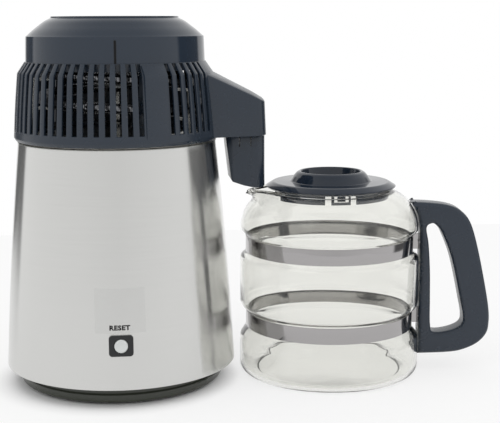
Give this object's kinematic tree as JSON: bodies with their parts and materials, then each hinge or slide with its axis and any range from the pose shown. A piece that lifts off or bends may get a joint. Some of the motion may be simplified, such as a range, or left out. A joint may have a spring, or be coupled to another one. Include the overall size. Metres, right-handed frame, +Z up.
{
  "type": "water distiller",
  "caption": "countertop water distiller: tapered steel boiler, louvred black fan head with finned coil and spout arm, glass carafe with steel bands, handle and lid",
  "frame": {"origin": "on the surface that the distiller stands on, in the middle of the boiler's foot circle, on the boiler's axis", "axes": "+Z up; the reset button faces -Y and the power inlet +Y; the spout arm and the carafe lie toward +X"},
  "size_m": [0.4938, 0.2339, 0.3625],
  "materials": {
    "steel_brushed": "brushed",
    "steel_polished": "polished",
    "steel_plated": "zinc plated",
    "black_satin": "satin",
    "black_gloss": "gloss",
    "black_hard": "moulded",
    "grey_button": "satin",
    "pale_insert": "moulded",
    "rubber_black": "moulded",
    "silicone_pale": "moulded",
    "aluminium_pressed": "pressed",
    "brass_contact": "pressed",
    "wire_cover": "extruded",
    "glass_clear": "blown"
  },
  "bodies": {
    "boiler": {"outer_shell": "steel_brushed", "base_pan": "black_gloss", "rubber_feet": "rubber_black", "boiling_pot": "steel_brushed", "pot_studs": "steel_plated", "stud_nuts": "steel_plated", "heat_spreader": "aluminium_pressed", "heater_element": "steel_brushed", "element_clamp": "steel_plated", "shut_off_thermostat": "black_hard", "thermal_cutout": "black_hard", "reset_bezel": "black_satin", "reset_switch": "black_hard", "reset_spring": "steel_plated", "power_inlet": "black_hard", "inlet_pins": "brass_contact", "fan_socket": "black_hard", "socket_contacts": "brass_contact", "mains_leads": "wire_cover", "fan_leads": "wire_cover"},
    "button": {"reset_button": "grey_button"},
    "head": {"louver_housing": "black_satin", "spout_arm": "black_satin", "head_cover": "black_gloss", "fan_grille": "black_satin", "fan_motor": "steel_plated", "motor_bracket": "steel_plated", "bracket_screws": "steel_plated", "condenser_coil": "steel_polished", "steam_pipe": "steel_polished", "drip_pipe": "steel_polished", "coil_clips": "steel_brushed", "steam_plate": "steel_polished", "head_gasket": "silicone_pale", "plate_screws": "steel_plated", "cover_screws": "steel_plated", "fan_plug": "black_hard", "plug_pins": "brass_contact", "motor_leads": "wire_cover"},
    "fan": {"motor_shaft": "steel_plated", "fan_blade": "black_hard", "blade_clip": "steel_plated"},
    "nozzle": {"nozzle_cup": "black_satin", "filter_basket": "pale_insert"},
    "carafe": {"carafe_glass": "glass_clear", "upper_band": "steel_polished", "lower_band": "steel_polished", "carafe_handle": "black_satin", "band_screws": "steel_plated", "band_nuts": "steel_plated"},
    "lid": {"carafe_lid": "black_gloss", "lid_crown": "black_gloss", "lid_skirt": "black_gloss"}
  },
  "joints": [
    {"name": "head_lift", "type": "slide", "parent": "boiler", "child": "head", "axis": [0, 0, 1], "range_m": [0, 0.15]},
    {"name": "fan_spin", "type": "hinge", "parent": "head", "child": "fan", "pos_m": [0, 0, 0.333], "axis": [0, 0, 1], "continuous": true},
    {"name": "reset_press", "type": "slide", "parent": "boiler", "child": "button", "axis": [0, 0.998, -0.0633], "range_m": [0, 0.002], "stiffness_N_per_m": 1000, "springref_m": -0.001, "deforming": ["reset_spring"]},
    {"name": "nozzle_pull", "type": "slide", "parent": "head", "child": "nozzle", "axis": [0, 0, -1], "range_m": [0, 0.0035]},
    {"name": "carafe_slide", "type": "slide", "parent": "boiler", "child": "carafe", "axis": [1, 0, 0], "range_m": [0, 0.15]},
    {"name": "lid_lift", "type": "slide", "parent": "carafe", "child": "lid", "axis": [0, 0, 1], "range_m": [0, 0.06]}
  ]
}
